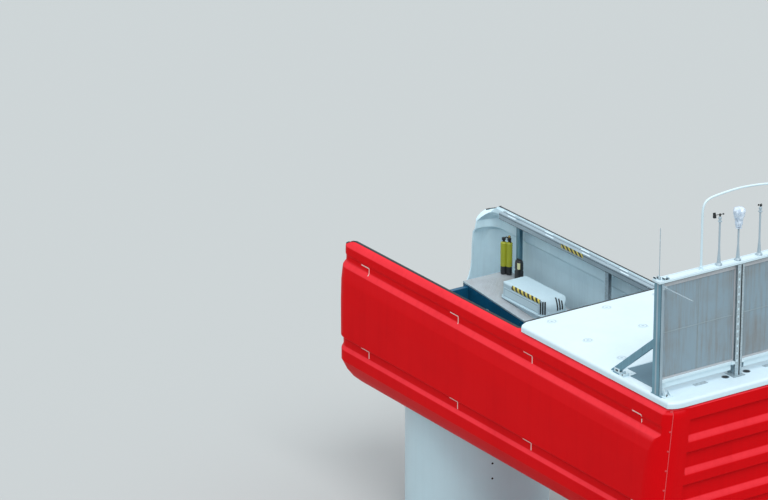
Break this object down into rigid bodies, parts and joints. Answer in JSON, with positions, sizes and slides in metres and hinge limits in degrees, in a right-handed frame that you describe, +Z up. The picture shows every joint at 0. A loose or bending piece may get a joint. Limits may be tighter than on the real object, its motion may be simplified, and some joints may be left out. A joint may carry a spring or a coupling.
{
  "type": "wind turbine nacelle with its tower top section",
  "caption": "Wind turbine nacelle with open front roof, rear cooler and weather masts, free to yaw on the top section of its tower.",
  "frame": {"origin": "centre of the lower face of the tower top section, on the yaw axis", "axes": "+Z up along the yaw axis, -X towards the rotor end, +X towards the cooler, +Y across to the side with the machine cover"},
  "size_m": [12.8633, 4.56, 10.761],
  "materials": {
    "red_gelcoat": "glossy red gelcoat on glass fibre, lightly weathered",
    "white_gelcoat": "satin white gelcoat and paint",
    "liner_grey": "pale blue-grey satin plastic",
    "machine_blue": "semi-gloss blue machine paint",
    "checker_plate": "grey chequered plate",
    "galvanised_steel": "galvanised, matt",
    "post_blue": "blue-grey paint on steel",
    "radiator_fins": "dull grey fins with vertical streaks",
    "anti_slip": "blue-grey anti-slip coating",
    "tower_paint": "pale grey satin paint",
    "seal_rubber": "black rubber",
    "black_plastic": "black plastic",
    "bag_film": "crumpled white and blue film",
    "kit_yellow": "yellow coated fabric"
  },
  "bodies": {
    "tower": {"tower_section": "tower_paint", "yaw_gear_ring": "galvanised_steel"},
    "nacelle": {"floor_shell": "red_gelcoat", "side_wall_right": "red_gelcoat", "side_wall_left": "red_gelcoat", "rear_wall": "red_gelcoat", "front_wall": "red_gelcoat", "bedplate_ring": "machine_blue", "girder_right": "machine_blue", "girder_left": "machine_blue", "deck_right": "checker_plate", "deck_left": "checker_plate", "cross_beam_front": "machine_blue", "cross_beam_middle": "machine_blue", "cross_beam_rear": "machine_blue", "wall_top_rail_right": "galvanised_steel", "wall_top_rail_left": "galvanised_steel", "machine_cover": "liner_grey", "roof_panel_front": "white_gelcoat", "roof_panel_rear": "white_gelcoat", "roof_front_seal": "seal_rubber", "anti_slip_mat": "anti_slip", "cooler_post_right": "post_blue", "cooler_post_left": "post_blue", "cooler_post_middle": "galvanised_steel", "cooler_top_beam": "white_gelcoat", "cooler_base_rail_right": "white_gelcoat", "cooler_base_rail_left": "white_gelcoat", "radiator_right": "radiator_fins", "radiator_left": "radiator_fins", "cooler_brace_right": "post_blue", "cooler_brace_left": "post_blue", "guard_hoop": "white_gelcoat", "vane_mast": "white_gelcoat", "cup_mast": "white_gelcoat", "covered_sensor_mast": "white_gelcoat", "covered_sensor": "bag_film", "lightning_rod_right": "galvanised_steel", "lightning_rod_left": "galvanised_steel", "rear_rod_right": "galvanised_steel", "rear_rod_left": "galvanised_steel", "rescue_kit": "kit_yellow", "gear_case": "black_plastic", "wall_frame_1_right": "post_blue", "wall_frame_1_left": "post_blue", "wall_frame_2_right": "galvanised_steel", "wall_frame_2_left": "galvanised_steel", "wall_frame_3_right": "galvanised_steel", "wall_frame_3_left": "galvanised_steel"},
    "vane": {"wind_vane": "black_plastic"},
    "cups": {"cup_rotor": "black_plastic"}
  },
  "joints": [
    {"name": "yaw", "type": "hinge", "parent": "tower", "child": "nacelle", "pos_m": [0, 0, 3.32], "axis": [0, 0, 1], "continuous": true},
    {"name": "vane_turn", "type": "hinge", "parent": "nacelle", "child": "vane", "pos_m": [9.245, -0.5, 10.215], "axis": [0, 0, 1], "continuous": true},
    {"name": "cup_spin", "type": "hinge", "parent": "nacelle", "child": "cups", "pos_m": [9.245, 0.56, 10.215], "axis": [0, 0, 1], "continuous": true}
  ]
}
